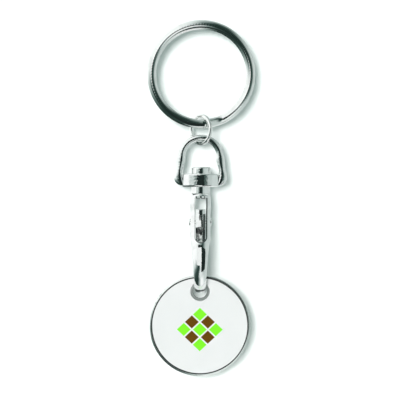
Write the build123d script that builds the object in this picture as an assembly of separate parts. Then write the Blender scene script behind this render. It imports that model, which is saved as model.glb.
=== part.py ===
from build123d import *

import os
from math import acos, atan2, ceil, cos, degrees, hypot, pi, radians, sin, sqrt, tan

# A keyring that carries a loose metal token on a sprung trigger hook, hung up by its split ring.
# Millimetres and degrees. The origin is the centre of the split ring, +Z is up, the front faces -Y.
# Front profiles are drawn in (x, z), side profiles in (y, z).

# Allowances shared by the whole object
overrun = 1.0  # how far a cut runs past the piece that it cuts
seat_gap = 0.02  # between pieces that are fixed to each other
running_gap = 0.05  # round a pin or shank that turns in its hole
hanging_gap = 0.18  # left at rest between a link and the link that it hangs in

# Split ring: two turns of flattened spring wire, stepping from the front turn to the back one
ring_outer_d = 25.0
ring_wire_width = 2.08
ring_wire_thickness = 0.96
ring_turn_gap = 0.05
ring_step_bearing = 14.0  # degrees to the right of the lowest point
ring_step_half_angle = 12.0
ring_end_angle = 1.5  # between the step and each cut end
ring_step_stations = 7
ring_end_round = 0.15

# Jump ring: round wire with a butt joint, its plane turned away from the split ring's
jump_wire_d = 0.85
jump_inner_d = 5.5
jump_turn_angle = 46.0
jump_joint_gap = 0.1
jump_joint_bearing = 205.0
crossing_samples = 24

# Swivel bow: an arch on two spreading legs over a barrel-shaped base
bow_arch_thickness = 1.42
bow_outer_arch_r = 5.35
bow_inner_arch_r = 3.6
bow_outer_spread = 9.0
bow_inner_spread = 6.0
bow_window_height = 7.65
bow_depth = 1.5
bow_squareness = 2.1  # of the bar's section: 2 is an ellipse, more is a rounded box
bow_arch_stations = 4  # from the top of the arch to each shoulder
bow_foot_r = 1.8
bow_foot_rise = 0.3  # from the underside of the barrel to that of the legs
bow_foot_stations = 3
bow_foot_grip = 0.7  # how much further in than the window's corner the bar's foot ends
barrel_width = 8.5
barrel_depth = 5.6
barrel_height = 3.0
barrel_round = 0.35

# Swivel stud: head inside the bow, shank through the barrel, peened end inside the hook's fork
stud_head_d = 4.6
stud_head_height = 1.5
stud_head_round = 0.4
stud_shank_d = 1.9
stud_peen_d = 2.34
stud_peen_height = 0.6
stud_peen_round = 0.2

# Trigger hook body: collar, fork, spine, bight and tip on one centre line in the side plane
collar_d = 4.35
collar_height = 1.45
collar_ledge = 0.14  # round the neck under the collar
fork_width = 4.7
fork_roof = 2.1  # from the top of the collar to the top of the slot
slot_width = 2.6
slot_height = 10.65
slot_ramp_lead = 1.45  # from the rivet's level line forward to where the slot's floor slopes away
slot_ramp_angle = 60.0
slot_ramp_bearing_share = 0.2  # where the spring bears on the slope
pivot_drop = 6.0  # from the top of the slot to the rivet
hook_straight = 4.6  # centre line from the collar's underside to where it starts to lean
hook_fall = 12.22  # height over which the spine leans out to the front of the eye
bight_r = 5.3  # centre line of the bight
bight_width = 2.5
bight_thickness = 1.65
tip_rise_angle = 6.0  # how far the tip runs up past the level of the bight's centre
tip_dome_height = 0.9
section_points = 24
# Spine sections from the collar to the front of the eye: share of the way, width and depth as
# shares of the fork's width, and squareness (2 is an ellipse, more is a rounded box)
spine_stations_shares = (
    (0.05, 1.00, 1.05, 2.9),
    (0.22, 1.00, 1.17, 3.2),
    (0.40, 1.00, 1.24, 3.2),
    (0.58, 0.96, 1.04, 3.0),
    (0.74, 0.86, 0.76, 2.5),
    (0.88, 0.76, 0.57, 2.3),
    (1.00, 0.69, 0.49, 2.2),
)
# Bight sections from the front of the eye to the tip: share of the way, width and depth as
# shares of the section at the lowest point, and squareness
bight_stations_shares = (
    (0.17, 1.18, 1.15, 2.1),
    (0.34, 1.07, 1.04, 2.1),
    (0.50, 1.00, 1.00, 2.1),
    (0.67, 0.98, 1.02, 2.1),
    (0.84, 0.96, 1.10, 2.2),
    (1.00, 0.94, 1.14, 2.3),
)
tip_dome_shares = ((0.50, 0.88), (0.80, 0.62), (0.95, 0.34))

# Gate lever: thumb tab, hub and gate in one channel
lever_width = 2.2
lever_wall = 0.35
hub_r = 1.85
tab_reach = 4.35  # from the rivet to the front of the tab
tab_rise = 3.0
tab_drop = 1.2
tab_top_thickness = 1.5
tab_lean = 0.35
tab_crown = 0.3  # how far the middle of the tab's face stands out over its sides
gate_web = 0.5
gate_tip_drop = 9.85  # from the rivet to the end of the gate
gate_tip_thickness = 1.15
gate_root_thickness = 1.3
gate_end_round = 0.3
tab_round = 0.28
lever_edge_round = 0.12
gate_seat_gap = 0.06
channel_end_share = 0.72  # how far down the gate the channel runs

# Gate rivet
rivet_d = 1.0
rivet_head_d = 1.55
rivet_head_height = 0.34
rivet_head_round = 0.16
rivet_seat_depth = 0.1  # flat sunk into the fork's cheek for each head
rivet_seat_gap = 0.08  # round the head

# Gate spring: torsion coil on the rivet, one leg on the gate, the other on the spine
spring_wire_d = 0.26
spring_bore_gap = 0.14  # between the rivet and the inside of the coil
spring_pitch = 0.72
spring_full_turns = 1
spring_arcs_per_turn = 4
spring_gate_leg_share = 0.5  # where its end lies along the gate
spring_seat_gap = 0.05

# Token: struck disc with a raised rim and a raised ring round its hole
coin_d = 23.25
coin_thickness = 2.33
coin_rim_width = 0.22
coin_rim_bevel = 0.2
coin_recess_depth = 0.2
coin_edge_bevel = 0.14
coin_hole_d = 3.2
coin_collar_inset = 1.505  # from the edge of the token to the raised ring round the hole
coin_hanging_gap = 0.11  # over the crest of the hook, which is flatter than the hole
coin_collar_d = 4.4
coin_collar_bevel = 0.14
coin_hole_bevel = 0.1
face_thickness = 0.16
face_round = 0.05

# Places that follow from the sizes
ring_pitch = ring_wire_thickness + ring_turn_gap
ring_centre_r = (ring_outer_d - ring_wire_width) / 2
ring_inner_r = ring_outer_d / 2 - ring_wire_width
jump_inner_r = jump_inner_d / 2
jump_centre_r = jump_inner_r + jump_wire_d / 2


def round_fall(radius, offset):
    """How far a round surface falls away at this offset from its crest."""
    return radius - sqrt(radius**2 - offset**2)


def ring_wire_fall(x, y):
    """How far the split ring's surface lies outside its inner circle, beside its lowest point."""
    half_thickness = ring_wire_thickness / 2
    offset = max(abs(y) - ring_pitch / 2, 0)
    if offset > half_thickness:
        return None
    flank = round_fall(half_thickness, offset) * ring_wire_width / ring_wire_thickness
    return sqrt((ring_inner_r + flank) ** 2 - x**2) - ring_inner_r


def arch_fall(x, y):
    """The same for the underside of the bow's arch, which bends towards the jump ring."""
    share = abs(y) / (bow_depth / 2)
    if share > 1:
        return None
    reach = (1 - share**bow_squareness) ** (1 / bow_squareness)
    return bow_arch_thickness / 2 * (1 - reach) - round_fall(bow_inner_arch_r, x)


def crossing_rise(bar_fall):
    """How far a bar holds the slanted jump ring off, beyond where their crests would meet."""
    turn = radians(jump_turn_angle)
    wire_r = jump_wire_d / 2
    rises = []
    for j in range(-crossing_samples + 1, crossing_samples):
        across = wire_r * j / crossing_samples
        inner_r = jump_inner_r + round_fall(wire_r, across)
        for k in range(crossing_samples):
            along = jump_inner_r * k / crossing_samples
            x = along * cos(turn) + across * sin(turn)
            y = across * cos(turn) - along * sin(turn)
            fall = bar_fall(x, y)
            if fall is not None:
                rises.append(jump_inner_r - sqrt(inner_r**2 - along**2) - fall)
    return max(rises)


jump_z = -ring_inner_r + crossing_rise(ring_wire_fall) + hanging_gap - jump_inner_r
arch_under_z = jump_z - jump_inner_r + crossing_rise(arch_fall) + hanging_gap
arch_top_z = arch_under_z + bow_arch_thickness
barrel_top_z = arch_under_z - bow_window_height
barrel_under_z = barrel_top_z - barrel_height
collar_top_z = barrel_under_z - running_gap
collar_under_z = collar_top_z - collar_height
slot_top_z = collar_top_z - fork_roof
pivot_z = slot_top_z - pivot_drop
lean_z = collar_under_z - hook_straight
bight_z = lean_z - hook_fall
half_slot = slot_width / 2
half_lever = lever_width / 2
half_channel = half_lever - lever_wall
hook_wire_top_z = bight_z - sqrt((bight_r - bight_thickness / 2) ** 2 - (coin_thickness / 2) ** 2)
coin_hole_z = hook_wire_top_z + coin_hanging_gap - coin_hole_d / 2
coin_hole_offset = (coin_d - coin_collar_d) / 2 - coin_collar_inset
coin_z = coin_hole_z - coin_hole_offset
half_fork = fork_width / 2
tip_inner_y = bight_r - bight_thickness * bight_stations_shares[-1][2] / 2
gate_tip_y = tip_inner_y - gate_seat_gap
spring_r = (rivet_d + spring_wire_d) / 2 + spring_bore_gap
coin_floor_r = coin_d / 2 - coin_edge_bevel - coin_rim_width - coin_rim_bevel

front_up = Rot(90, 0, 0)  # stands a piece drawn flat on its edge, its top towards the front


def side_point(y, z):
    """A point in the side plane."""
    return Vector(0, y, z)


def wire_section(bearing, height):
    """The split ring's wire, cut square at a bearing round the ring, in the ring's flat frame."""
    outward = Vector(cos(radians(bearing)), sin(radians(bearing)), 0)
    along = Vector(-outward.Y, outward.X, 0)
    plane = Plane(outward * ring_centre_r + Vector(0, 0, height), x_dir=outward, z_dir=along)
    return plane * Ellipse(ring_wire_width / 2, ring_wire_thickness / 2)


def split_ring():
    """Front turn, step and back turn of one length of wire."""
    step = ring_step_bearing - 90
    first = step + ring_step_half_angle
    swept = 360 - 2 * ring_step_half_angle - ring_end_angle
    front = revolve(wire_section(first + ring_end_angle, ring_pitch / 2), Axis.Z, swept)
    back = revolve(wire_section(first, -ring_pitch / 2), Axis.Z, swept)
    sections = []
    for k in range(ring_step_stations):
        share = k / (ring_step_stations - 1)
        bearing = step + ring_step_half_angle * (2 * share - 1)
        sections.append(wire_section(bearing, ring_pitch / 2 * cos(pi * share)))
    ring = front + loft(sections) + back
    ends = [face.edges() for face in ring.faces().filter_by(GeomType.PLANE)]
    for edges in ends:
        ring = fillet(edges, ring_end_round)
    return front_up * ring


def jump_ring():
    """Round wire bent into a ring, its ends butted."""
    gap_angle = degrees(jump_joint_gap / jump_centre_r)
    start = jump_joint_bearing + gap_angle / 2
    section = Plane.XZ * Pos(jump_centre_r, 0) * Circle(jump_wire_d / 2)
    ring = Rot(0, 0, start) * revolve(section, Axis.Z, 360 - gap_angle)
    return Pos(0, 0, jump_z) * Rot(0, 0, -jump_turn_angle) * front_up * ring


def rounded_section(width, depth, squareness):
    """Closed section of a bar, from an ellipse to a rounded box."""
    points = []
    for k in range(section_points):
        turn = 2 * pi * k / section_points
        across, along = cos(turn), sin(turn)
        reach = (abs(across) ** squareness + abs(along) ** squareness) ** (-1 / squareness)
        points.append((width / 2 * reach * across, depth / 2 * reach * along))
    return make_face(Spline(*points, periodic=True))


def arch_point(top_z, radius, bearing):
    """A point on the bow's outer or inner arch, in the front plane."""
    turn = radians(bearing)
    return Vector(radius * cos(turn), 0, top_z - radius * (1 - sin(turn)))


def bow_stations():
    """Outer and inner points across the bow's bar, from the top of the arch to the right foot."""
    pairs = []
    for k in range(bow_arch_stations + 1):
        share = k / bow_arch_stations
        outer = arch_point(arch_top_z, bow_outer_arch_r, 90 + (bow_outer_spread - 90) * share)
        inner = arch_point(arch_under_z, bow_inner_arch_r, 90 + (bow_inner_spread - 90) * share)
        pairs.append((outer, inner))
    outer_shoulder, inner_shoulder = pairs[-1]
    bend_z = barrel_under_z + bow_foot_rise + bow_foot_r
    outer_slope = Vector(tan(radians(bow_outer_spread)), 0, -1)
    inner_slope = Vector(tan(radians(bow_inner_spread)), 0, -1)
    bend = outer_shoulder + outer_slope * (outer_shoulder.Z - bend_z)
    corner = inner_shoulder + inner_slope * (inner_shoulder.Z - barrel_top_z)
    level = outer_shoulder + outer_slope * (outer_shoulder.Z - barrel_top_z)
    pairs.append(((outer_shoulder + level) / 2, (inner_shoulder + corner) / 2))
    pairs.append((level, corner))
    for k in range(bow_foot_stations + 1):
        turn = pi / 2 * k / bow_foot_stations
        outer = bend + Vector(cos(turn) - 1, 0, -sin(turn)) * bow_foot_r
        share = (barrel_top_z - outer.Z) / (barrel_top_z - bend_z + bow_foot_r)
        pairs.append((outer, Vector(corner.X - bow_foot_grip * share, 0, outer.Z)))
    return pairs


def bow_section(outer, inner):
    """Rounded section of the bow's bar, from an outer to an inner point of its outline."""
    across = inner - outer
    plane = Plane((outer + inner) / 2, x_dir=across, z_dir=across.cross(Vector(0, 1, 0)))
    return plane * rounded_section(across.length, bow_depth, bow_squareness)


def bow_bar():
    """The bow's arch, legs and feet as one smooth bar through rounded sections."""
    right = bow_stations()
    left = [[Vector(-point.X, 0, point.Z) for point in pair] for pair in reversed(right[1:])]
    return loft([bow_section(*pair) for pair in left + right])


def swivel_bow():
    """Arch and legs as one rounded bar, fused to the barrel that the stud turns in."""
    barrel = Pos(0, 0, barrel_under_z) * extrude(
        Ellipse(barrel_width / 2, barrel_depth / 2), barrel_height
    )
    ends = barrel.faces().sort_by(Axis.Z)
    barrel = fillet(ends[0].edges() + ends[-1].edges(), barrel_round)
    bore_height = barrel_height + 2 * overrun
    bore = Pos(0, 0, (barrel_top_z + barrel_under_z) / 2) * Cylinder(
        stud_shank_d / 2 + running_gap, bore_height
    )
    return bow_bar() + barrel - bore


def swivel_stud():
    """Turned stud with a rounded head, and a lower end that is peened over inside the fork."""
    head_under_z = barrel_top_z + running_gap
    head = Pos(0, 0, head_under_z + stud_head_height / 2) * Cylinder(
        stud_head_d / 2, stud_head_height
    )
    head = fillet(head.edges().group_by(Axis.Z)[-1], stud_head_round)
    peen_top_z = slot_top_z - seat_gap
    shank_height = head_under_z - peen_top_z
    shank = Pos(0, 0, head_under_z - shank_height / 2) * Cylinder(stud_shank_d / 2, shank_height)
    peen = Pos(0, 0, peen_top_z - stud_peen_height / 2) * Cylinder(
        stud_peen_d / 2, stud_peen_height
    )
    peen = fillet(peen.edges().group_by(Axis.Z)[0], stud_peen_round)
    return head + shank + peen


def hook_station(edge, share, width, depth, squareness):
    """A section square to the centre line, at a share of the way along one of its edges."""
    plane = Plane(edge.position_at(share), x_dir=(1, 0, 0), z_dir=edge.tangent_at(share))
    return plane * rounded_section(width, depth, squareness)


def hook_lines():
    """The centre line from the collar down the spine, and from the front of the eye to the tip."""
    top = side_point(0, collar_under_z)
    lean = side_point(0, lean_z)
    eye_front = side_point(-bight_r, bight_z)
    down = side_point(0, -1)
    straight = Line(top, lean)
    fall = Spline(lean, eye_front, tangents=(down, down))
    spine = Wire(straight.edges() + fall.edges())
    rise = radians(tip_rise_angle)
    tip = side_point(bight_r * cos(rise), bight_z + bight_r * sin(rise))
    bight = ThreePointArc(eye_front, side_point(0, bight_z - bight_r), tip)
    return spine, bight


def hook_loft():
    """Fork, spine, bight and domed tip as one smooth body along the centre line."""
    spine, bight = hook_lines()
    neck_d = collar_d - 2 * collar_ledge
    sections = [Plane.XY.offset(collar_under_z) * rounded_section(neck_d, neck_d, 2)]
    for share, width, depth, squareness in spine_stations_shares:
        station = hook_station(spine, share, width * fork_width, depth * fork_width, squareness)
        sections.append(station)
    for share, width, depth, squareness in bight_stations_shares:
        station = hook_station(
            bight, share, width * bight_width, depth * bight_thickness, squareness
        )
        sections.append(station)
    end_width, end_depth, end_squareness = bight_stations_shares[-1][1:]
    end = Plane(bight.position_at(1), x_dir=(1, 0, 0), z_dir=bight.tangent_at(1))
    for height, size in tip_dome_shares:
        section = rounded_section(
            size * end_width * bight_width, size * end_depth * bight_thickness, end_squareness
        )
        sections.append(end.offset(height * tip_dome_height) * section)
    return loft(sections)


def slot_ramp_line():
    """The slope at the back of the slot's floor, where the open gate lies, in (y, z) from the rivet."""
    top_y, top_z = -slot_ramp_lead, pivot_drop - slot_height
    foot_y = top_y + slot_ramp_lead
    return (top_y, top_z), (foot_y, top_z - slot_ramp_lead * tan(radians(slot_ramp_angle)))


def lever_slot():
    """The slot through the fork, round at its lower end, with its floor sloping down at the back."""
    straight_height = slot_height - half_slot
    outline = Pos(0, slot_top_z - straight_height / 2) * Rectangle(slot_width, straight_height)
    outline += Pos(0, slot_top_z - straight_height) * Circle(half_slot)
    slot = extrude(Plane.XZ * outline, 2 * fork_width, both=True)
    (top_y, top_z), (foot_y, foot_z) = slot_ramp_line()
    wedge = Polyline(
        (top_y, 0), (top_y, top_z), (foot_y, foot_z), (fork_width, foot_z), (fork_width, 0), close=True
    )
    return slot + Pos(0, 0, pivot_z) * extrude(
        Plane.YZ * make_face(wedge.edges()), half_slot, both=True
    )


def hook_body():
    """Collar and lofted hook, with the slot for the lever and bores for the stud and the rivet."""
    collar = Pos(0, 0, (collar_top_z + collar_under_z) / 2) * Cylinder(
        collar_d / 2, collar_height
    )
    body = collar + hook_loft()
    stud_bore = Pos(0, 0, collar_top_z) * Cylinder(
        stud_shank_d / 2 + seat_gap, 2 * (fork_roof + overrun)
    )
    rivet_bore = Pos(0, 0, pivot_z) * Rot(0, 90, 0) * Cylinder(
        rivet_d / 2 + seat_gap, fork_width + 2 * overrun
    )
    seats = [
        Pos(side * (half_fork - rivet_seat_depth + overrun / 2), 0, pivot_z)
        * Rot(0, 90, 0)
        * Cylinder(rivet_head_d / 2 + rivet_seat_gap, overrun)
        for side in (1, -1)
    ]
    return body - lever_slot() - stud_bore - rivet_bore - seats


def gate_back_line():
    """The gate's outer edge, from its tangent on the hub to its end, from the rivet in (y, z)."""
    end_y, end_z = gate_tip_y, -gate_tip_drop
    bearing = atan2(end_z, end_y) + acos(hub_r / hypot(end_y, end_z))
    return (hub_r * cos(bearing), hub_r * sin(bearing)), (end_y, end_z)


def lever_outline():
    """Side profile of thumb tab, hub and gate, drawn in (y, z) from the rivet."""
    (root_y, root_z), (end_y, end_z) = gate_back_line()
    tab = Polyline(
        (0, hub_r),
        (-tab_reach + tab_lean + tab_top_thickness, tab_rise),
        (-tab_reach + tab_lean, tab_rise),
        (-tab_reach, -tab_drop),
        (0, -hub_r),
        close=True,
    )
    gate = Polyline(
        (root_y - gate_root_thickness, -hub_r),
        (end_y - gate_tip_thickness, end_z),
        (end_y, end_z),
        (root_y, root_z),
        (0, 0),
        close=True,
    )
    tab_face = make_face(tab.edges())
    tab_face = fillet(tab_face.vertices().sort_by(Axis.X)[:3], tab_round)
    gate_face = make_face(gate.edges())
    gate_face = fillet(gate_face.vertices().sort_by(Axis.Y)[:2], gate_end_round)
    return tab_face + gate_face + Circle(hub_r)


def lever_channel():
    """The hollow that takes the spring: round the rivet, down the gate, and straight down."""
    (root_y, root_z), (end_y, end_z) = gate_back_line()
    channel_r = hub_r - gate_web
    gate_length = hypot(end_y - root_y, end_z - root_z)
    down_gate = channel_end_share * gate_length
    lean = degrees(atan2(end_y - root_y, root_z - end_z))
    hollow = Circle(channel_r)
    hollow += Rot(0, 0, lean) * Pos(0, -down_gate / 2) * Rectangle(2 * channel_r, down_gate)
    hollow += Pos(0, -hub_r) * Rectangle(2 * channel_r, 2 * hub_r)
    return hollow


def tab_crown_cut():
    """What is cut from the front of the tab, to leave its face round across and leaning back."""
    crown_r = (half_lever**2 + tab_crown**2) / (2 * tab_crown)
    front = Pos(0, tab_crown - overrun / 2) * Rectangle(lever_width + overrun, overrun)
    front -= Pos(0, crown_r) * Circle(crown_r)
    lean = degrees(atan2(tab_lean, tab_rise + tab_drop))
    return Pos(0, -tab_reach, -tab_drop) * Rot(-lean, 0, 0) * extrude(
        front, tab_rise + tab_drop + overrun, both=True
    )


def gate_lever():
    """Thumb tab, hub and gate in one piece, hollowed to a channel that is open to the spine."""
    lever = extrude(Plane.YZ * lever_outline(), half_lever, both=True) - tab_crown_cut()
    cheeks = lever.faces().sort_by(Axis.X)
    lever = fillet(cheeks[0].edges() + cheeks[-1].edges(), lever_edge_round)
    channel = extrude(Plane.YZ * lever_channel(), half_channel, both=True)
    bore = Rot(0, 90, 0) * Cylinder(rivet_d / 2 + running_gap, lever_width + 2 * overrun)
    return Pos(0, 0, pivot_z) * (lever - channel - bore)


def gate_rivet():
    """Shank through both cheeks of the fork, with a rounded head sunk a little into each."""
    head_under = half_fork - rivet_seat_depth + seat_gap
    rivet = Cylinder(rivet_d / 2, 2 * head_under)
    for side in (1, -1):
        head = Pos(0, 0, side * (head_under + rivet_head_height / 2)) * Cylinder(
            rivet_head_d / 2, rivet_head_height
        )
        outer_edge = head.edges().filter_by(GeomType.CIRCLE).sort_by(Axis.Z)[::side][-1]
        rivet += fillet(outer_edge, rivet_head_round)
    return Pos(0, 0, pivot_z) * Rot(0, 90, 0) * rivet


def biarc(start, start_way, end, end_way):
    """Two arcs from one point and direction to another, tangent where they meet."""
    chord = end - start
    spare = 2 * (1 - start_way.dot(end_way))
    along = chord.dot(start_way + end_way)
    reach = (sqrt(along**2 + spare * chord.dot(chord)) - along) / spare
    start_knee = start + start_way * reach
    end_knee = end - end_way * reach
    meeting = (start_knee + end_knee) / 2
    first = TangentArc(start, meeting, tangent=start_way)
    second = TangentArc(meeting, end, tangent=end_knee - start_knee)
    return first.edges() + second.edges()


def spring_gate_end():
    """The end of the spring's gate leg, on the channel's web, in (y, z) from the rivet."""
    (root_y, root_z), (end_y, end_z) = gate_back_line()
    run_y, run_z = end_y - root_y, end_z - root_z
    length = hypot(run_y, run_z)
    stand = gate_web + spring_seat_gap + spring_wire_d / 2
    y = root_y + run_y * spring_gate_leg_share + run_z / length * stand
    z = root_z + run_z * spring_gate_leg_share - run_y / length * stand
    return y, z


def spring_spine_end():
    """The end of the spring's other leg, on the slope of the slot's floor, in (y, z) likewise."""
    (top_y, top_z), (foot_y, foot_z) = slot_ramp_line()
    slope = radians(slot_ramp_angle)
    stand = spring_seat_gap + spring_wire_d / 2
    y = top_y + (foot_y - top_y) * slot_ramp_bearing_share + stand * sin(slope)
    z = top_z + (foot_z - top_z) * slot_ramp_bearing_share + stand * cos(slope)
    return y, z


def gate_spring():
    """Torsion spring: a leg up from the spine, over the rivet in a coil, and down the gate."""
    spine_y, spine_z = spring_spine_end()
    gate_y, gate_z = spring_gate_end()
    spine_turn = acos(spring_r / hypot(spine_y, spine_z))
    gate_turn = acos(spring_r / hypot(gate_y, gate_z))
    start = atan2(spine_z, spine_y) - spine_turn + 2 * pi
    finish = atan2(gate_z, gate_y) + gate_turn - 2 * pi * spring_full_turns
    sweep_angle = start - finish
    half_length = spring_pitch * sweep_angle / (4 * pi)
    count = ceil(sweep_angle / (2 * pi) * spring_arcs_per_turn)
    rise = spring_pitch / (2 * pi)

    def on_coil(share):
        turn = start - sweep_angle * share
        x = half_length * (2 * share - 1)
        slope = 0 if share in (0, 1) else rise
        point = Vector(x, spring_r * cos(turn), spring_r * sin(turn))
        way = Vector(slope, spring_r * sin(turn), -spring_r * cos(turn)).normalized()
        return point, way

    stops = [on_coil(k / count) for k in range(count + 1)]
    coil = []
    for (point, way), (next_point, next_way) in zip(stops, stops[1:]):
        coil += biarc(point, way, next_point, next_way)
    spine_end = Vector(-half_length, spine_y, spine_z)
    gate_end = Vector(half_length, gate_y, gate_z)
    spine_leg = Line(spine_end, stops[0][0])
    gate_leg = Line(stops[-1][0], gate_end)
    path = Wire(spine_leg.edges() + coil + gate_leg.edges())
    section = Plane(spine_end, z_dir=stops[0][1]) * Circle(spring_wire_d / 2)
    print_least_gap(path)
    return Pos(0, 0, pivot_z) * sweep(section, path)


def print_least_gap(path):
    """Prints the least space between neighbouring turns of the spring, from points on its path."""
    count = 240
    points = [path.position_at(k / count) for k in range(count + 1)]
    skip = pi * spring_r  # half a turn along the wire
    step = path.length / count
    apart = [
        (a - b).length
        for i, a in enumerate(points)
        for j, b in enumerate(points)
        if (j - i) * step > skip
    ]
    print("spring's least gap to itself", round(min(apart) - spring_wire_d, 3))


def coin_half_profile():
    """Half of the token's section, drawn in (radius, height)."""
    top = coin_thickness / 2
    floor = top - coin_recess_depth
    outer_r = coin_d / 2
    rim_r = outer_r - coin_edge_bevel
    corners = [
        (0, floor),
        (coin_floor_r, floor),
        (coin_floor_r + coin_rim_bevel, top),
        (rim_r, top),
        (outer_r, top - coin_edge_bevel),
    ]
    mirrored = [(x, -z) for x, z in reversed(corners)]
    return make_face(Polyline(*corners, *mirrored, close=True).edges())


def coin_blank():
    """Struck disc with raised rims, and a raised ring round the hole on both sides."""
    top = coin_thickness / 2
    blank = revolve(Plane.XZ * coin_half_profile(), Axis.Z)
    ring_r = coin_collar_d / 2
    for side in (1, -1):
        ring = extrude(Circle(ring_r), side * top)
        outer_edge = ring.edges().filter_by(GeomType.CIRCLE).sort_by(Axis.Z)[::side][-1]
        blank += Pos(0, coin_hole_offset) * chamfer(outer_edge, coin_collar_bevel)
    blank -= Pos(0, coin_hole_offset) * Cylinder(coin_hole_d / 2, coin_thickness + 2 * overrun)
    hole_edges = blank.edges().filter_by(GeomType.CIRCLE)
    hole_edges = hole_edges.filter_by(lambda edge: abs(edge.radius - coin_hole_d / 2) < seat_gap)
    blank = chamfer(hole_edges, coin_hole_bevel)
    return Pos(0, 0, coin_z) * front_up * blank


def coin_face():
    """Lacquer layer that lies in the front recess, round the raised ring."""
    floor = coin_thickness / 2 - coin_recess_depth
    layer = extrude(Circle(coin_floor_r - seat_gap), face_thickness)
    layer -= Pos(0, coin_hole_offset) * Cylinder(coin_collar_d / 2 + seat_gap, 2 * overrun)
    layer = fillet(layer.edges().group_by(Axis.Z)[-1], face_round)
    return Pos(0, 0, coin_z) * front_up * Pos(0, 0, floor) * layer


parts = {
    "split_ring": split_ring(),
    "jump_ring": jump_ring(),
    "swivel_bow": swivel_bow(),
    "swivel_stud": swivel_stud(),
    "hook_body": hook_body(),
    "gate_lever": gate_lever(),
    "gate_rivet": gate_rivet(),
    "gate_spring": gate_spring(),
    "coin_blank": coin_blank(),
    "coin_face": coin_face(),
}
os.makedirs("parts", exist_ok=True)
for node, shape in parts.items():
    export_step(shape, f"parts/{node}.step")
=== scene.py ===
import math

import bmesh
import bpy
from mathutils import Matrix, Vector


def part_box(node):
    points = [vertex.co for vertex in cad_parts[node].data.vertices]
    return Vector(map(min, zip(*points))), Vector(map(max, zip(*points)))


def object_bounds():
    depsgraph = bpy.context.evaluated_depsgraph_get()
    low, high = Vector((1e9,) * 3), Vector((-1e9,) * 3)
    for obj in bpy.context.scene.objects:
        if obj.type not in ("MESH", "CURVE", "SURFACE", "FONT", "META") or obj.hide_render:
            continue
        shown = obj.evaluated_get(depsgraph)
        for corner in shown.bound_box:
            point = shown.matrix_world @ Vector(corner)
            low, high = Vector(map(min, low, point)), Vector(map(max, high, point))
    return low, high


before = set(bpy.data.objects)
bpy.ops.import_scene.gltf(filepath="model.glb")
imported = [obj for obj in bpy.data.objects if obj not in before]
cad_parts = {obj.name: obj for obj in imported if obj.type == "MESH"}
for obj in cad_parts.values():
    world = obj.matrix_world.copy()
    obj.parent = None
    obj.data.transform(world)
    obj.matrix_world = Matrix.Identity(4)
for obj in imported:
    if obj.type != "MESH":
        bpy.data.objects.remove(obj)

# %% [markdown]
# # A keyring with a trolley token, ready for its picture
# The imported model arrives with every part in its real place: a split ring, a small link, a swivel
# bow with its stud, a trigger hook with a sprung gate, and a token that hangs in the hook. All
# lengths are in metres, +Z is up as the keyring hangs, and the front faces -Y. This lesson adds
# what the solids don't have: a finish for each surface, a stage, light and a camera. The box of
# the solids is kept at once, and the camera and the sheet are placed from it.

MM = 0.001
solid_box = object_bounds()
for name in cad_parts:
    low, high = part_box(name)
    print(name, "is", [round((b - a) / MM, 2) for a, b in zip(low, high)], "mm")

# %% [markdown]
# ## The camera
# The keyring is photographed square on: the split ring is a true circle and neither edge of the
# hook shows more than the other. A close wide lens would make the hook's front look larger than
# the ring, so the camera stands well back with a long lens. Its field is worked out from the
# distance, because what has to match is the width of the strip of world that fits the picture.
# It aims half a millimetre below the keyring's middle, and a trace to the left. The keyring lay a
# third of a degree askew, so the camera is rolled by as much.

# %% Camera square on, with a long lens
VIEW_WIDTH = 92.5 * MM
DISTANCE = 600 * MM
AIM_LEFT = 0.13 * MM
AIM_BELOW = 0.475 * MM
ROLL = -0.34
SENSOR_WIDTH = 36

middle = (solid_box[0] + solid_box[1]) / 2
lens = bpy.data.cameras.new("long_lens")
lens.sensor_width = SENSOR_WIDTH
lens.lens = SENSOR_WIDTH * DISTANCE / VIEW_WIDTH
lens.clip_start = 10 * MM
camera = bpy.data.objects.new("camera", lens)
camera.location = (-AIM_LEFT, -DISTANCE, middle.z - AIM_BELOW)
camera.rotation_euler = (math.radians(90), math.radians(ROLL), 0)
bpy.context.scene.collection.objects.link(camera)
bpy.context.scene.camera = camera
print("lens", round(lens.lens, 1), "mm")

# %% [markdown]
# ## Sums between sockets
# A finish is a tree of small nodes, and most of them only add, multiply or compare. Drawn out one
# by one they hide the idea, so a socket is wrapped in a class whose operators make the Math nodes.
# `1 - mask` then reads as it would on paper. The reflected forms, such as `__rsub__`, are what
# Python calls when the plain number comes first. What has no operator, such as a square root, is
# asked for by name: `area.math("SQRT")`.

# %% A socket that can be used in a sum
class Link:
    """An output socket of a node tree, used like a number."""

    def __init__(self, tree, socket):
        self.tree = tree
        self.socket = socket

    def math(self, operation, *others):
        """A Math node on this socket and what follows."""
        return self.tree.math(operation, self, *others)

    def __add__(self, other):
        return self.math("ADD", other)

    def __sub__(self, other):
        return self.math("SUBTRACT", other)

    def __rsub__(self, other):
        return self.tree.math("SUBTRACT", other, self)

    def __mul__(self, other):
        return self.math("MULTIPLY", other)

    def __truediv__(self, other):
        return self.math("DIVIDE", other)

    def __rtruediv__(self, other):
        return self.tree.math("DIVIDE", other, self)

    def __gt__(self, other):
        return self.math("GREATER_THAN", other)

    def __lt__(self, other):
        return self.math("LESS_THAN", other)

    def __abs__(self):
        return self.math("ABSOLUTE")

    __radd__ = __add__
    __rmul__ = __mul__


print("sums are ready")

# %% [markdown]
# Every node comes from one method. It takes the node's type, a value or a link for each socket by
# its name or number, and the node's settings, such as the operation of a Math node or the stops of
# a ramp. The settings are made first, because some of them change which sockets there are. `out`
# names the output that the sum goes on with.

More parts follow.
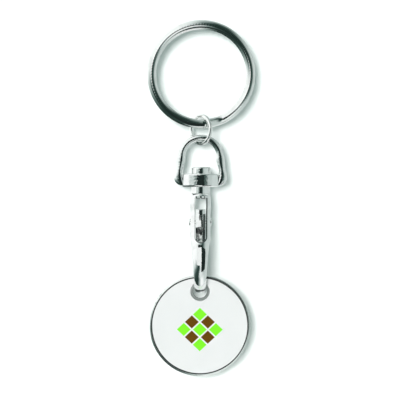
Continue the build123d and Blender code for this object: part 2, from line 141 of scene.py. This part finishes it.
# %% A tree that grows one node at a time
class Tree:
    """The node tree of a finish or of the world."""

    def __init__(self, owner):
        owner.use_nodes = True
        self.nodes = owner.node_tree.nodes
        self.links = owner.node_tree.links
        self.nodes.clear()

    def add(self, kind, sockets=None, out=0, **settings):
        """Adds a node and gives back one of its outputs, if it has any."""
        node = self.nodes.new(kind)
        for name, value in settings.items():
            if name == "stops":
                set_stops(node.color_ramp, value)
            else:
                setattr(node, name, value)
        for name, value in (sockets or {}).items():
            if isinstance(value, Link):
                self.links.new(value.socket, node.inputs[name])
            else:
                node.inputs[name].default_value = value
        return Link(self, node.outputs[out]) if node.outputs else None

    def math(self, operation, *terms):
        """A Math node on links and plain numbers, in the order of its sockets."""
        return self.add("ShaderNodeMath", dict(enumerate(terms)), operation=operation)


def set_stops(ramp, stops):
    """Gives a colour ramp its stops, each a place from 0 to 1 and a colour."""
    while len(ramp.elements) < len(stops):
        ramp.elements.new(1)
    for element, (place, colour) in zip(ramp.elements, stops):
        element.position = place
        element.color = (*colour, 1)


print("trees are ready")

# %% [markdown]
# Three nodes are asked for so often that they get a name of their own. Colours are mixed by a Mix
# node, because a Math node would turn them grey. It has a set of sockets for each kind of data, and
# those for colours are numbers 6 and 7 going in and 2 coming out. A soft step turns a distance or a
# noise into a mask without a jagged edge, and a vector is taken apart along its axes.

# %% Colours, soft steps and axes
def rgb(red, green, blue):
    """A colour for a socket."""
    return (red, green, blue, 1)


def mix(mask, first, second):
    """The first colour where the mask is 0, the second where it is 1."""
    sockets = {0: mask, 6: first, 7: second}
    return mask.tree.add("ShaderNodeMix", sockets, out=2, data_type="RGBA")


def step(value, start, end):
    """0 up to start, 1 from end on, and soft between."""
    sockets = {"Value": value, "From Min": start, "From Max": end}
    return value.tree.add("ShaderNodeMapRange", sockets, interpolation_type="SMOOTHSTEP")


def axes(vector, letters):
    """The parts of a vector along the named axes, such as "XZ"."""
    parts = vector.tree.add("ShaderNodeSeparateXYZ", {"Vector": vector}).socket.node.outputs
    return [Link(vector.tree, parts[letter]) for letter in letters]


print("masks can be made")

# %% [markdown]
# ## The sheet behind
# The keyring was laid on a plain white sheet, and its shadow falls on it close by to the right. Here
# the sheet stands just behind the hook's back and curves forward far below the token, as a
# photographer's paper roll does, so there is no corner to see. A flat plane would be enough for the
# front view alone, but it would leave the keyring without a floor from above. The sheet is drawn as
# a profile in the side plane and swept across.

# %% Paper roll behind and below
SHEET_GAP = 0.333 * MM
SHEET_DROP = 26.3 * MM
SHEET_CURVE = 20 * MM
SHEET_HALF = 420 * MM
CURVE_STEPS = 16


def sheet_profile():
    """Points from the top of the sheet down, round the curve and forward, in (y, z)."""
    back = solid_box[1].y + SHEET_GAP
    floor = solid_box[0].z - SHEET_DROP
    points = [(back, SHEET_HALF)]
    for k in range(CURVE_STEPS + 1):
        turn = math.pi / 2 * k / CURVE_STEPS
        y = back - SHEET_CURVE * (1 - math.cos(turn))
        z = floor + SHEET_CURVE * (1 - math.sin(turn))
        points.append((y, z))
    points.append((-SHEET_HALF, floor))
    return points


def swept(name, left, right, profile):
    """A thin object that runs from left to right along a profile of (y, z) points, top first."""
    mesh = bmesh.new()
    rows = [[mesh.verts.new((x, y, z)) for x in (left, right)] for y, z in profile]
    for upper, lower in zip(rows, rows[1:]):
        mesh.faces.new((upper[0], lower[0], lower[1], upper[1]))
    data = bpy.data.meshes.new(name)
    mesh.to_mesh(data)
    mesh.free()
    thin = bpy.data.objects.new(name, data)
    bpy.context.scene.collection.objects.link(thin)
    return thin


sheet = swept("paper_sheet", -SHEET_HALF, SHEET_HALF, sheet_profile())
sheet.data.polygons.foreach_set("use_smooth", [True] * len(sheet.data.polygons))
print("sheet faces", len(sheet.data.polygons), "first normal", tuple(sheet.data.polygons[0].normal))

# %% [markdown]
# The paper is a dull white with a very fine grain. On its upright part the lamp makes the white and
# the even light of the world fills the shadow, so the shadow stays pale. The lamp only grazes the
# part that lies flat, which would look grey from above. There most of the white is a glow that the
# lens alone sees, so that it doesn't light the token from below. How far the surface's normal
# points up says how flat the paper lies. Seen from behind the sheet would hide the keyring, so its
# back is clear. To the metal the whole sheet is clear, because what the metal shows is painted
# further on.

# %% Paper finish
PAPER_GRAINS = 900.0
PAPER_COLOURS = (rgb(0.955, 0.965, 0.955), rgb(0.975, 0.985, 0.975))
LYING_FLAT = (0.3, 0.9)
GLOW_SHARE = 0.75


def new_finish(name):
    """An empty material, and the place on the piece in the piece's own space, in metres."""
    finish = bpy.data.materials.new(name)
    return finish, Tree(finish).add("ShaderNodeTexCoord", out="Object")


def noise(place, grains, detail, distortion=0.0):
    """Cloudy noise from 0 to 1, with about so many grains to the metre."""
    sockets = {"Vector": place, "Scale": grains, "Detail": detail, "Distortion": distortion}
    return place.tree.add("ShaderNodeTexNoise", sockets)


def paper_finish():
    finish, place = new_finish("white_paper")
    tree = place.tree
    colour = mix(noise(place, PAPER_GRAINS, detail=3.0), *PAPER_COLOURS)
    paper = tree.add("ShaderNodeBsdfDiffuse", {"Color": colour})
    glow = tree.add("ShaderNodeEmission", {"Color": colour, "Strength": 1.0})
    upward = axes(tree.add("ShaderNodeNewGeometry", out="Normal"), "Z")[0]
    seen = tree.add("ShaderNodeLightPath", out="Is Camera Ray")
    share = step(upward, *LYING_FLAT) * seen * GLOW_SHARE
    front = tree.add("ShaderNodeMixShader", {0: share, 1: paper, 2: glow})
    behind = tree.add("ShaderNodeNewGeometry", out="Backfacing")
    glossy = tree.add("ShaderNodeLightPath", out="Is Glossy Ray")
    clear = tree.add("ShaderNodeBsdfTransparent")
    see_through = behind.math("MAXIMUM", glossy)
    both = tree.add("ShaderNodeMixShader", {0: see_through, 1: front, 2: clear})
    tree.add("ShaderNodeOutputMaterial", {"Surface": both})
    return finish


sheet.data.materials.append(paper_finish())
print("paper finish ready")

# %% [markdown]
# ## Light for the shadow
# The shadow lies a little to the right and hardly lower, with a soft edge, so the lamp is to the
# left and nearly in front. A sun lamp keeps the same direction everywhere, and its angle sets how
# soft the shadow's edge is. Bright metal would show a sun lamp as a hard dot, so it is hidden from
# reflections, and what the metal reflects is painted in the world further on. A second, level lamp
# shines from behind, through the paper, which casts no shadow. It can't reach what the lens sees
# from the front, and lights the keyring's back for whoever walks round it.

# %% Sun lamps from the left and from behind
LAMP_LEFT = 9.0
LAMP_UP = 5.0
LAMP_ANGLE = 15.0
FRONT_STRENGTH = 2.5
BACK_STRENGTH = 2.0


def sun(name, strength, up, turn):
    """A soft sun lamp that shines from so many degrees up, turned round the upright."""
    lamp = bpy.data.lights.new(name, "SUN")
    lamp.energy = strength
    lamp.angle = math.radians(LAMP_ANGLE)
    holder = bpy.data.objects.new(name, lamp)
    holder.rotation_euler = (math.radians(90 - up), 0, math.radians(turn))
    holder.visible_glossy = False
    bpy.context.scene.collection.objects.link(holder)
    print(name, strength)


sun("front_lamp", FRONT_STRENGTH, LAMP_UP, -LAMP_LEFT)
sun("back_lamp", BACK_STRENGTH, 0, 180 - LAMP_LEFT)
sheet.visible_shadow = False

# %% [markdown]
# ## The room that the metal shows
# Polished plate has hardly any colour of its own: what is seen on it is the room. The bands on the
# rings, the bow and the hook tell what stood round the keyring. Surfaces that lean to the upper left
# are white from a window, and those that lean down to the right are nearly as bright. Between these
# two lie two dark wedges, up to the right and down to the left, where the room was unlit. Far from
# the line of sight the wedges end and a pale green grey takes over. The room is therefore three
# colour ramps that run once round the line of sight, from the left by way of the floor, the right
# and the ceiling back to the left: one for directions near the lens, one halfway and one for the
# sides. The photograph's darks lean to green and its whites don't. So a brightness is raised to a
# power of its own for red, green and blue, which tints what is dark and leaves white alone.

# %% Three ramps round the line of sight
TINT = (1.19, 1.0, 1.045)


def around(*stops):
    """Ramp stops from bearings in degrees, with 0 to the right and 90 up, and their brightness."""
    return [(turn / 360 + 0.5, tuple(light**power for power in TINT)) for turn, light in stops]


ROOM = {
    14: around(
        (-180, 0.24), (-170, 0.035), (-130, 0.03), (-112, 0.07), (-99, 0.25), (-89, 0.68),
        (-74, 0.82), (-50, 0.84), (-32, 0.68), (-20, 0.26), (-9, 0.10), (12, 0.08), (34, 0.04),
        (78, 0.03), (88, 0.07), (97, 0.50), (108, 0.84), (130, 0.95), (152, 0.92), (166, 0.74),
        (180, 0.24),
    ),
    42: around(
        (-180, 0.62), (-169, 0.40), (-155, 0.16), (-140, 0.045), (-112, 0.05), (-100, 0.48),
        (-89, 0.78), (-70, 0.74), (-50, 0.62), (-30, 0.53), (0, 0.54), (25, 0.54), (44, 0.36),
        (60, 0.07), (75, 0.07), (88, 0.34), (99, 0.68), (112, 0.86), (135, 0.92), (168, 0.88),
        (180, 0.62),
    ),
    70: around(
        (-180, 0.94), (-168, 0.58), (-158, 0.22), (-148, 0.07), (-112, 0.025), (-96, 0.25),
        (-84, 0.90), (-72, 0.92), (-58, 0.78), (-40, 0.58), (0, 0.60), (30, 0.55), (58, 0.34),
        (74, 0.38), (90, 0.56), (101, 0.78), (120, 0.95), (180, 0.94),
    ),
}
print("ramps at", list(ROOM), "degrees off the line of sight")

# %% [markdown]
# The bearing comes from the arc tangent of the direction's height and width, and how far it is off
# the line of sight from the arc cosine. Each ramp gives way to the next a few degrees past its own
# angle. The lens itself is a small black disc in the middle: on a round wire that faces it, the
# disc draws the thin dark line that runs along the crown. Only rays that left a glossy surface see
# this room. Dull surfaces get an even pale green light, which is also what colours the shadow on
# the paper, and the lens sees plain white.

# %% World by direction
LENS_BLACK = rgb(0.008, 0.016, 0.014)
LENS_EDGE = (4.0, 6.5)
HANDOVER = (7.0, 21.0)
ROOM_STRENGTH = 1.12
SHADE_LIGHT = rgb(0.19, 0.28, 0.262)
WHITE = rgb(1, 1, 1)


def room(tree):
    """What glossy surfaces show, by the direction in which they look."""
    x, y, z = axes(tree.add("ShaderNodeTexCoord"), "XYZ")
    bearing = z.math("ARCTAN2", x) / (2 * math.pi) + 0.5
    off_axis = (-1 * y).math("ARCCOSINE") * (180 / math.pi)
    shown = LENS_BLACK
    start, end = LENS_EDGE
    for angle, stops in ROOM.items():
        wall = tree.add("ShaderNodeValToRGB", {"Fac": bearing}, stops=stops)
        shown = mix(step(off_axis, start, end), shown, wall)
        start, end = [angle + past for past in HANDOVER]
    return tree.add("ShaderNodeVectorMath", {0: shown, "Scale": ROOM_STRENGTH}, operation="SCALE")


def room_world():
    world = bpy.data.worlds.new("room")
    tree = Tree(world)
    glossy = tree.add("ShaderNodeLightPath", out="Is Glossy Ray")
    seen = tree.add("ShaderNodeLightPath", out="Is Camera Ray")
    colour = mix(seen, mix(glossy, SHADE_LIGHT, room(tree)), WHITE)
    background = tree.add("ShaderNodeBackground", {"Color": colour, "Strength": 1.0})
    tree.add("ShaderNodeOutputWorld", {"Surface": background})
    bpy.context.scene.world = world


room_world()
bpy.context.scene.view_settings.view_transform = "Standard"
print("world ready")

# %% [markdown]
# Small cards hang in the air before the bow and the hook. Photographers use such flags to draw
# strokes on bright metal. The flat front of the barrel and of the thumb tab shows the black card as
# a dark middle, and the bow's round legs show it as a line. Lower down, the hook's bar shows a white
# card on its left half and a black one right of its middle. These two stand close before the bar, so
# that the rings above don't show them. The cards are there for reflections alone: the lens, the
# shadows and dull surfaces take no notice of them. Their felt is a little uneven, so that the
# strokes aren't quite flat. Strokes painted in the world's ramps would lie at the same bearing on
# every piece, which is why the cards are things with a place. For each card the list gives how far
# it stands before the keyring, then its left and right edge, its foot and its top, in millimetres.

# %% Cards for the reflections
FAR = 45
NEAR = 17
CARDS = {
    "upper_black": (FAR, -12.5, 12.5, -47, -6),
    "lower_black": (NEAR, 1.9, 22, -52, -31.3),
    "lower_white": (NEAR, -8, 1.9, -45.6, -31.3),
}
FELT_GRAINS = 160.0
BLACK_FELT = (rgb(0.002, 0.005, 0.0045), rgb(0.028, 0.042, 0.039))
WHITE_FELT = (rgb(0.80, 0.84, 0.83), WHITE)


def card(name, before, left, right, foot, top, felt):
    """An upright card that only glossy rays see."""
    edges = [(-before * MM, top * MM), (-before * MM, foot * MM)]
    upright = swept(name, left * MM, right * MM, edges)
    upright.visible_camera = upright.visible_shadow = upright.visible_diffuse = False
    finish, place = new_finish(name)
    colour = mix(noise(place, FELT_GRAINS, detail=3.0), *felt)
    glow = place.tree.add("ShaderNodeEmission", {"Color": colour, "Strength": 1.0})
    place.tree.add("ShaderNodeOutputMaterial", {"Surface": glow})
    upright.data.materials.append(finish)
    return upright


for name, place in CARDS.items():
    card(name, *place, WHITE_FELT if "white" in name else BLACK_FELT)
print("cards before the keyring:", *CARDS)

# %% [markdown]
# ## Painted shade in the slot
# Where two pieces nearly touch, little light gets in, and that shade is painted into the plate. That
# is so on the walls of the fork's slot, two straight sides that end in a half round, and on the edge
# of the gate lever that lies along one of them. Dark paint on chosen faces would end in hard corners,
# so a function for each place works out a mask from the surface's own place, and the finish is dark
# and dull where the mask is 1. Below the middle of the slot's half round, the distance from the
# slot's centre line turns from sideways to round, which is what makes the mask's round end. The dark
# line is shifted by a share of x, so that it lies on the face beside the right wall and within the
# slot at the left one, as in the photograph. The lever's mask also asks which way the surface faces,
# so that its side stays bright. Both masks are measured from the rivet.

# %% Places with painted shade
rivet_low, rivet_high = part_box("gate_rivet")
RIVET_UP = (rivet_low.z + rivet_high.z) / 2
SLOT_HALF = 1.3 * MM
SLOT_TOP = RIVET_UP + 6.0 * MM
SLOT_ROUND = RIVET_UP - 3.35 * MM
CLEAN_TOP = 0.4 * MM
LINE_SHIFT = 0.09
LINE_INSET = 0.02 * MM
LINE_EDGE = (0.12 * MM, 0.24 * MM)
TAB_FOOT = RIVET_UP + 1.88 * MM
LEVER_EDGE = (0.5 * MM, 0.7 * MM)
TURNED_ASIDE = (-0.6, -0.3)


def slot_shade(place):
    """Painted shade mask: 1 on the walls of the fork's slot and along their edges, 0 elsewhere."""
    x, z = axes(place, "XZ")
    down = (z - SLOT_ROUND).math("MINIMUM", 0.0)
    outside = (x * x + down * down).math("SQRT") - SLOT_HALF
    off_line = abs(outside - x * LINE_SHIFT + LINE_INSET)
    return (1 - step(off_line, *LINE_EDGE)) * (z < SLOT_TOP - CLEAN_TOP)


def lever_shade(place):
    """Painted shade mask: 1 on the right edge of the gate lever's front, as far down as the slot
    goes.
    """
    x, z = axes(place, "XZ")
    back = axes(place.tree.add("ShaderNodeTexCoord", out="Normal"), "Y")[0]
    facing = 1 - step(back, *TURNED_ASIDE)
    in_slot = (z < TAB_FOOT) * (z > SLOT_ROUND - SLOT_HALF)
    return step(x, *LEVER_EDGE) * in_slot * facing


print("rivet at", round(RIVET_UP / MM, 2), "mm, slot", round((SLOT_TOP - SLOT_ROUND) / MM, 2), "mm")

# %% [markdown]
# ## Bright plate
# Plated wire and plated castings share one finish with different settings. Nickel and chrome plate
# is a mirror, but never a perfect one: handling leaves faint smears, the metal under it waves a
# little, and fine scratches run in all directions. The smears change the roughness and darken the
# colour a trace. The waves and scratches are bumps, a few hundredths of a millimetre high at most.
# A photograph of metal wrapped round the pieces would carry its own reflections, so the marks are
# noise. It is sampled in the object's own space, in metres, so the marks ride along when a piece
# swings. Castings wave more than drawn wire, and the hook is polished better than the bow.

# %% Plate with smears, waves and scratches
WIRE_COLOUR = (0.93, 0.95, 0.935)
WIRE_ROUGHNESS = 0.03
WIRE_WAVES = (0.003 * MM, 2.2 * MM)
CAST_COLOUR = (0.93, 0.95, 0.94)
CAST_ROUGHNESS = 0.045
CAST_WAVES = (0.026 * MM, 0.55 * MM)
HOOK_WAVES = (0.014 * MM, 0.7 * MM)
SMEAR_GRAINS = 420.0
SMEAR_EDGE = (0.42, 0.68)
SMEAR_SHADE = 0.93
SCRATCH_GRAINS = 2600.0
SCRATCH_HEIGHT = 0.0006 * MM
# The colour of the shade painted into the plate in the slot and on the lever.
PAINTED_SHADE_PLATE = rgb(0.035, 0.045, 0.043)


def bump(height):
    """A normal that leans as it would on a surface with that height, in metres."""
    return height.tree.add("ShaderNodeBump", {"Height": height, "Distance": 1.0, "Strength": 1.0})


def cover(finish, tree, sockets):
    """Ends a finish with its one surface node."""
    surface = tree.add("ShaderNodeBsdfPrincipled", sockets)
    tree.add("ShaderNodeOutputMaterial", {"Surface": surface})
    return finish


def plate(name, colour, roughness, waves, shade_place=None):
    """Bright plate; its waves are given by their height and their length, in metres."""
    finish, place = new_finish(name)
    wave_height, wave_length = waves
    smear = step(noise(place, SMEAR_GRAINS, detail=4.0, distortion=0.6), *SMEAR_EDGE)
    smeared = [SMEAR_SHADE * part for part in colour]
    swell = noise(place, 1 / wave_length, detail=1.0)
    scratch = noise(place, SCRATCH_GRAINS, detail=5.0)
    sockets = {
        "Base Color": mix(smear, rgb(*colour), rgb(*smeared)),
        "Metallic": 1.0,
        "Roughness": smear * 0.05 + roughness,
        "Normal": bump(swell * wave_height + scratch * SCRATCH_HEIGHT),
    }
    # Painted shade: where the mask is 1, the plate is turned dark and dull.
    if shade_place:
        painted_shade = shade_place(place)
        sockets["Base Color"] = mix(painted_shade, sockets["Base Color"], PAINTED_SHADE_PLATE)
        sockets["Metallic"] = 1 - painted_shade * 0.8
        sockets["Roughness"] = sockets["Roughness"] + painted_shade * 0.3
    return cover(finish, place.tree, sockets)


wire_plate = plate("plated_wire", WIRE_COLOUR, WIRE_ROUGHNESS, WIRE_WAVES)
cast_plate = plate("plated_casting", CAST_COLOUR, CAST_ROUGHNESS, CAST_WAVES)
fork_plate = plate("plated_fork", CAST_COLOUR, CAST_ROUGHNESS, HOOK_WAVES, slot_shade)
lever_plate = plate("plated_lever", CAST_COLOUR, CAST_ROUGHNESS, CAST_WAVES, lever_shade)
print("four kinds of plate")

# %% [markdown]
# The rings are wire. The bow, its stud and the rivet are castings or turned pins with the same
# skin. The hook and its lever each have painted shade of their own. A finish for every piece would
# repeat the same nodes, so pieces of one kind share one, and a change to it shows on all of them.

# %% Plate on the pieces
PLATED = {
    "split_ring": wire_plate,
    "jump_ring": wire_plate,
    "swivel_bow": cast_plate,
    "swivel_stud": cast_plate,
    "gate_rivet": cast_plate,
    "hook_body": fork_plate,
    "gate_lever": lever_plate,
}


def dress(node, finish):
    """Gives a solid its finish."""
    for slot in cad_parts[node].material_slots:
        slot.material = finish


for node, finish in PLATED.items():
    dress(node, finish)
print("plate on", len(PLATED), "pieces")

# %% [markdown]
# ## Spring wire
# The spring inside the slot is drawn steel wire without plate. Drawing leaves fine marks along the
# wire and a thin dark film of oil, which wears through in places, so the spring is duller and
# darker than the castings round it. Marks that truly run along the wire would need a map that
# follows the coil. The wire is so thin that a very fine even noise looks the same.

# %% Drawn wire
OILY_STEEL = rgb(0.55, 0.57, 0.565)
BARE_STEEL = rgb(0.93, 0.95, 0.94)
FILM_GRAINS = 1500.0
MARK_GRAINS = 6000.0
MARK_HEIGHT = 0.001 * MM


def drawn_wire():
    finish, place = new_finish("drawn_wire")
    bare = noise(place, FILM_GRAINS, detail=3.0)
    marks = noise(place, MARK_GRAINS, detail=2.0)
    sockets = {
        "Base Color": mix(bare, OILY_STEEL, BARE_STEEL),
        "Metallic": 1.0,
        "Roughness": bare * 0.12 + 0.14,
        "Normal": bump(marks * MARK_HEIGHT),
    }
    return cover(finish, place.tree, sockets)


dress("gate_spring", drawn_wire())
print("spring dressed")

# %% [markdown]
# ## Distances on the token
# Rim, sunk face, raised ring and hole are told apart by how far a point lies from the token's
# middle or from the middle of its hole. Each could be a face group with a finish of its own, but a
# distance gives soft edges and needs no groups. Depth doesn't count, so the vector is flattened
# before its length is taken, with Vector Math, because the three parts belong together.

# %% The token's middle, and the way from it
face_low, face_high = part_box("coin_face")
face_middle = (face_low + face_high) / 2
FACE_RADIUS = (face_high.x - face_low.x) / 2
HOLE_UP = 7.92 * MM


def vector_math(operation, *terms, out="Vector"):
    """A Vector Math node; its first term is a link."""
    sockets = dict(enumerate(terms))
    return terms[0].tree.add("ShaderNodeVectorMath", sockets, out=out, operation=operation)


def from_point(place, x, z):
    """The way to a place from a point of the front plane, and its length as seen from the front."""
    way = vector_math("SUBTRACT", place, (x, 0, z))
    flat = vector_math("MULTIPLY", way, (1, 0, 1))
    return way, vector_math("LENGTH", flat, out="Value")


print("lacquer's radius", round(FACE_RADIUS / MM, 2), "mm, hole", HOLE_UP / MM, "mm above its middle")

# %% [markdown]
# ## The token's metal
# The token is struck from sheet and plated. Its rim stands proud and gets rubbed by coins and keys,
# so the rim is bright, while the sunk faces keep a fine grain from the die. Shade in the groove where
# the lacquer ends is painted in as a dark line, and the rim's outer edge is rolled over by wear,
# which a bump shows without a change of shape. Round the hole, the raised ring is duller than the
# rim, and the wall of the hole is painted dark as shade. Each pair of places says where a soft step
# starts and ends. The first three pairs are measured outward from the lacquer's edge, and the other
# two from the hole's middle.

# %% Struck and plated metal
RIM_START = (-0.44 * MM, -0.04 * MM)
GROOVE_END = (0.16 * MM, 0.28 * MM)
RIM_ROLL = (0.16 * MM, 0.71 * MM)
COLLAR_END = (2.3 * MM, 2.5 * MM)
HOLE_WALL = (1.62 * MM, 1.74 * MM)
# The colour of the shade painted on the token, and how much of it the hole wall gets.
PAINTED_SHADE_COLOUR = rgb(0.012, 0.018, 0.017)
HOLE_SHADE = 0.75
DIE_GRAINS = 1800.0
GRAIN_HEIGHT = 0.002 * MM
NICK_GRAINS = 700.0
NICK_EDGE = (0.62, 0.7)
NICK_DEPTH = 0.002 * MM
ROLL_DEPTH = 0.09 * MM


def nickel(light):
    """The colour of the token's plate: a grey that leans to green."""
    return rgb(light, light + 0.03, light + 0.01)


def token_plate():
    finish, place = new_finish("token_plate")
    way, distance = from_point(place, face_middle.x, face_middle.z)
    past_lacquer = distance - FACE_RADIUS
    reach = from_point(way, 0, HOLE_UP)[1]
    on_rim = step(past_lacquer, *RIM_START)
    on_collar = 1 - step(reach, *COLLAR_END)
    in_hole = 1 - step(reach, *HOLE_WALL)
    # Painted shade: a dark line in the groove where the lacquer ends, and a dark wall in the hole.
    shade_mask = on_rim - step(past_lacquer, *GROOVE_END) + in_hole * HOLE_SHADE
    grain = noise(way, DIE_GRAINS, detail=4.0)
    nicks = step(noise(way, NICK_GRAINS, detail=2.0), *NICK_EDGE)
    dull = mix(grain, nickel(0.66), nickel(0.76))
    bright = mix(nicks, nickel(0.85), nickel(0.68))
    rolled = step(past_lacquer, *RIM_ROLL)
    height = grain * (1 - on_rim) * GRAIN_HEIGHT - nicks * NICK_DEPTH - rolled * ROLL_DEPTH
    sockets = {
        "Base Color": mix(shade_mask, mix(on_rim, dull, bright), PAINTED_SHADE_COLOUR),
        "Metallic": 1 - shade_mask,
        "Roughness": 0.3 - on_rim * 0.24 + on_collar * 0.15 + nicks * 0.1,
        "Normal": bump(height),
    }
    return cover(finish, place.tree, sockets)


dress("coin_blank", token_plate())
print("token metal dressed")

# %% [markdown]
# ## A print of lozenges
# A two-colour print lies on the front of the token. It is a plain harlequin ground of lozenges,
# which any printer would have: rows of green ones with rows of brown ones between them. It could be
# an image laid on the disc, but a sum needs no image and stays sharp from near by. A lozenge grid
# is two sets of slanting stripes. `right + up` counts stripes one way and `right - up` the other,
# and where both are well inside their stripe there is ink. The whole numbers of the two counts name
# the cell. The print ends one cell out from the middle, and its cells are brown where one count is
# at the middle and the other isn't.

# %% Lozenges from two sets of stripes
PRINT_UP = -0.9 * MM
LOZENGE_WIDTH = 3.7 * MM
LOZENGE_HEIGHT = 3.5 * MM
INK_EDGE = (0.05, 0.08)
CELLS_OUT = 1


def lozenges(way):
    """Masks for the ink, and for the lozenges that are brown."""
    x, z = axes(way, "XZ")
    right = x / LOZENGE_WIDTH
    up = (z - PRINT_UP) / LOZENGE_HEIGHT
    counts = (right + up + 0.5, right - up + 0.5)
    inside = [0.5 - abs(count.math("FRACT") - 0.5) for count in counts]
    cells = [abs(count.math("FLOOR")) for count in counts]
    farthest = cells[0].math("MAXIMUM", cells[1])
    nearest = cells[0].math("MINIMUM", cells[1])
    ink = step(inside[0].math("MINIMUM", inside[1]), *INK_EDGE) * (farthest < CELLS_OUT + 0.5)
    brown = (farthest > 0.5) * (nearest < 0.5)
    return ink, brown


print("lozenges of", LOZENGE_WIDTH / MM, "by", LOZENGE_HEIGHT / MM, "mm")

# %% [markdown]
# ## White lacquer
# The front recess is filled with white lacquer, and the print lies on it. Poured lacquer is smooth
# and a little uneven in tone, with a faint peel like that of an orange. The ink stands a few
# thousandths of a millimetre proud, and its screen shows as a fine change of tone. A thin line of
# painted shade marks where the lacquer meets the rim. The bright hook above would carry the green as
# a stain, so rays that come off metal see most of the ink as white. Hardened lacquer shines less
# than clear glass does, which the specular level says.

# %% Lacquer with its print
WHITES = (rgb(0.75, 0.727, 0.731), rgb(0.78, 0.755, 0.758))
GREENS = (rgb(0.195, 0.79, 0.019), rgb(0.235, 0.86, 0.028))
BROWNS = (rgb(0.105, 0.042, 0.0), rgb(0.14, 0.06, 0.001))
CLOUD_GRAINS = 160.0
SCREEN_GRAINS = 3200.0
PEEL_GRAINS = 900.0
PEEL_HEIGHT = 0.0015 * MM
INK_HEIGHT = 0.004 * MM
INK_LOST_IN_METAL = 0.8
LACQUER_END = (-0.08 * MM, 0.02 * MM)
EDGE_WANDER = 0.08 * MM


def printed_lacquer():
    finish, place = new_finish("printed_lacquer")
    way, distance = from_point(place, face_middle.x, face_middle.z)
    cloud = noise(way, CLOUD_GRAINS, detail=3.0)
    screen = noise(way, SCREEN_GRAINS, detail=2.0)
    peel = noise(way, PEEL_GRAINS, detail=2.0)
    ink, brown = lozenges(way)
    in_metal = place.tree.add("ShaderNodeLightPath", out="Is Glossy Ray")
    ink = ink * (1 - in_metal * INK_LOST_IN_METAL)
    inked = mix(brown, mix(screen, *GREENS), mix(screen, *BROWNS))
    colour = mix(ink, mix(cloud, *WHITES), inked)
    # Painted shade: a thin dark line where the lacquer meets the rim.
    shade_mask = step(distance - FACE_RADIUS + cloud * EDGE_WANDER, *LACQUER_END)
    sockets = {
        "Base Color": mix(shade_mask, colour, PAINTED_SHADE_COLOUR),
        "Roughness": 0.32 + ink * 0.1 + cloud * 0.05,
        "IOR": 1.5,
        "Specular IOR Level": 0.2,
        "Normal": bump(peel * PEEL_HEIGHT + ink * INK_HEIGHT),
    }
    return cover(finish, place.tree, sockets)


dress("coin_face", printed_lacquer())
print("token printed")
